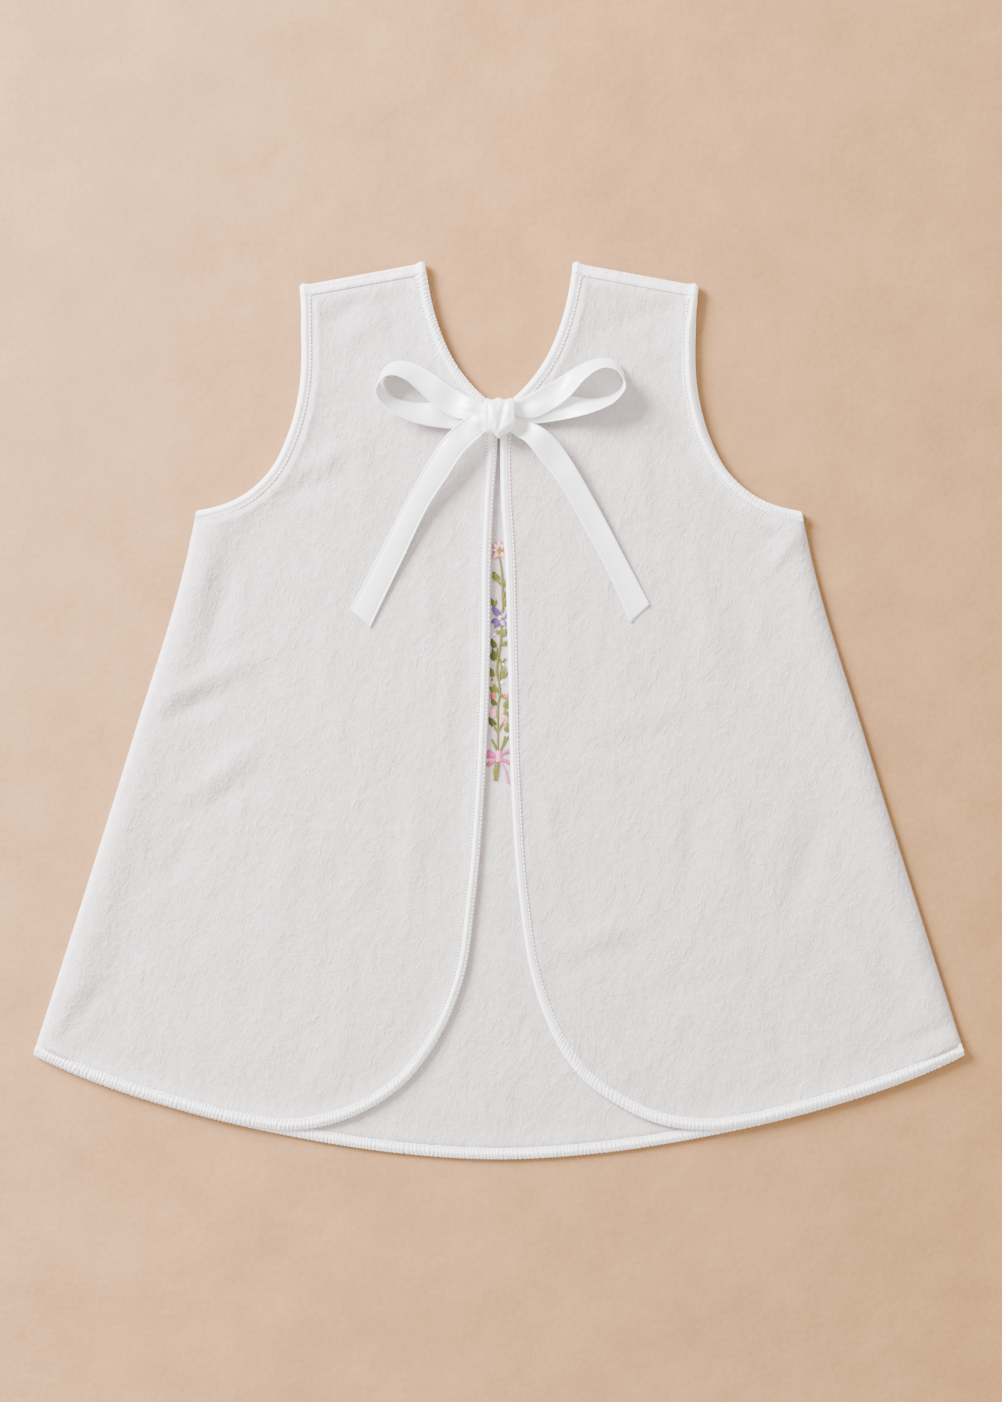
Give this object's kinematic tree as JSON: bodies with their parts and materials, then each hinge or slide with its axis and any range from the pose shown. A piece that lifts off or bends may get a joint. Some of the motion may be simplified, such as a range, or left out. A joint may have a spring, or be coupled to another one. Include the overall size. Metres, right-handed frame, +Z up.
{
  "type": "baby dress",
  "caption": "Sleeveless A-line baby day dress, laid flat with its open back upward, bound edges and a satin ribbon bow at the neck.",
  "frame": {"origin": "centre of the laid-out dress in plan, on the surface that it lies on", "axes": "+Z up out of the surface, towards the open back; +Y towards the shoulders; +X to the right as seen from above"},
  "size_m": [0.3814, 0.3675, 0.0139],
  "materials": {
    "cotton": "matte white fine cotton, slightly crinkled",
    "binding": "white folded cotton strip, stitched",
    "ribbon": "white satin"
  },
  "bodies": {
    "root": {"front": "cotton", "back_left": "cotton", "back_right": "cotton", "front_neck_strip": "binding", "front_left_armhole_strip": "binding", "front_right_armhole_strip": "binding", "front_hem_strip": "binding", "back_left_neck_strip": "binding", "back_right_neck_strip": "binding", "back_left_armhole_strip": "binding", "back_right_armhole_strip": "binding", "back_left_edge_strip": "binding", "back_right_edge_strip": "binding", "bow_knot": "ribbon", "bow_loop_left": "ribbon", "bow_loop_right": "ribbon", "bow_tail_left": "ribbon", "bow_tail_right": "ribbon"}
  },
  "joints": []
}
